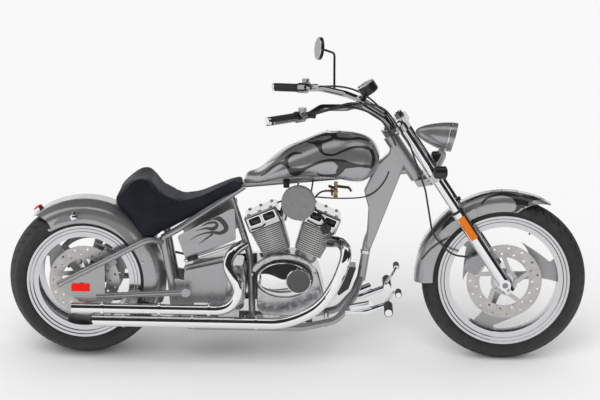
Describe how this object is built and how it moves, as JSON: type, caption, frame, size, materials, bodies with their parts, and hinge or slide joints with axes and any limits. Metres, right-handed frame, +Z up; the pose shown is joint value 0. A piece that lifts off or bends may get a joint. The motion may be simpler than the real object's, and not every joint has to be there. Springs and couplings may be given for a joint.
{
  "type": "chopper motorcycle",
  "caption": "Long, low chopper motorcycle with an air-cooled V-twin, wide rear tyre, raked fork and side stand; wheels, steering and stand move.",
  "frame": {"origin": "middle of the outline on the floor, with both tyres and the side stand foot on the floor", "axes": "+X forward, +Y to the rider's left, +Z up; the machine leans to its left on the side stand"},
  "size_m": [2.4679, 0.9602, 1.2733],
  "materials": {
    "silver_paint": "metallic gloss",
    "chrome": "mirror chrome",
    "polished_alloy": "polished",
    "grey_alloy": "satin",
    "brushed_steel": "satin",
    "disc_steel": "turned",
    "tyre_rubber": "matt",
    "belt_rubber": "matt",
    "black_rubber": "matt",
    "black_plastic": "gloss",
    "seat_leather": "satin",
    "clear_lens": "clear",
    "red_lens": "gloss",
    "amber_lens": "gloss"
  },
  "bodies": {
    "frame": {"air_cleaner": "grey_alloy", "cam_cover": "chrome", "crankcase": "polished_alloy", "cylinders": "polished_alloy", "drive_belt": "belt_rubber", "exhaust_lower": "chrome", "exhaust_upper": "chrome", "foot_controls": "chrome", "frame_cradle": "silver_paint", "frame_neck": "silver_paint", "fuel_cap": "chrome", "fuel_tank": "silver_paint", "gearbox": "polished_alloy", "ignition_cover": "grey_alloy", "intake": "polished_alloy", "oil_tank": "silver_paint", "plug_cover": "black_plastic", "primary_cover": "chrome", "rear_axle": "brushed_steel", "rear_caliper": "grey_alloy", "rear_dampers": "black_plastic", "rear_fender": "silver_paint", "rear_lights": "chrome", "rear_reflector": "red_lens", "regulator": "black_plastic", "rocker_boxes": "chrome", "seat": "seat_leather", "side_panels": "silver_paint", "swingarm": "silver_paint"},
    "rear_wheel": {"rear_tyre": "tyre_rubber", "rear_wheel": "polished_alloy", "rear_brake_disc": "disc_steel", "rear_pulley": "polished_alloy"},
    "steering": {"fork_clamps": "polished_alloy", "fork_tubes": "chrome", "fork_legs": "chrome", "leg_reflectors": "amber_lens", "front_axle": "brushed_steel", "front_caliper": "grey_alloy", "front_fender": "silver_paint", "headlight": "silver_paint", "headlight_lens": "clear_lens", "front_signals": "chrome", "handlebar": "chrome", "grips": "black_rubber", "hand_controls": "chrome", "mirror": "chrome", "gauge": "chrome", "brake_line": "black_rubber"},
    "front_wheel": {"front_tyre": "tyre_rubber", "front_wheel": "polished_alloy", "front_brake_disc": "disc_steel"},
    "side_stand": {"side_stand": "brushed_steel"}
  },
  "joints": [
    {"name": "rear_wheel_spin", "type": "hinge", "parent": "frame", "child": "rear_wheel", "pos_m": [-0.906, -0.09949, 0.32665], "axis": [0, 0.9914, -0.1305], "continuous": true},
    {"name": "steering", "type": "hinge", "parent": "frame", "child": "steering", "pos_m": [0.51729, -0.04212, 0.76244], "axis": [-0.5592, 0.1082, 0.8219], "range_deg": [-33, 33]},
    {"name": "front_wheel_spin", "type": "hinge", "parent": "steering", "child": "front_wheel", "pos_m": [0.884, -0.09674, 0.34754], "axis": [0, 0.9914, -0.1305], "continuous": true},
    {"name": "side_stand_fold", "type": "hinge", "parent": "frame", "child": "side_stand", "pos_m": [-0.076, 0.0428, 0.12031], "axis": [-0.0441, -0.6186, -0.7844], "range_deg": [-103, 0]}
  ]
}
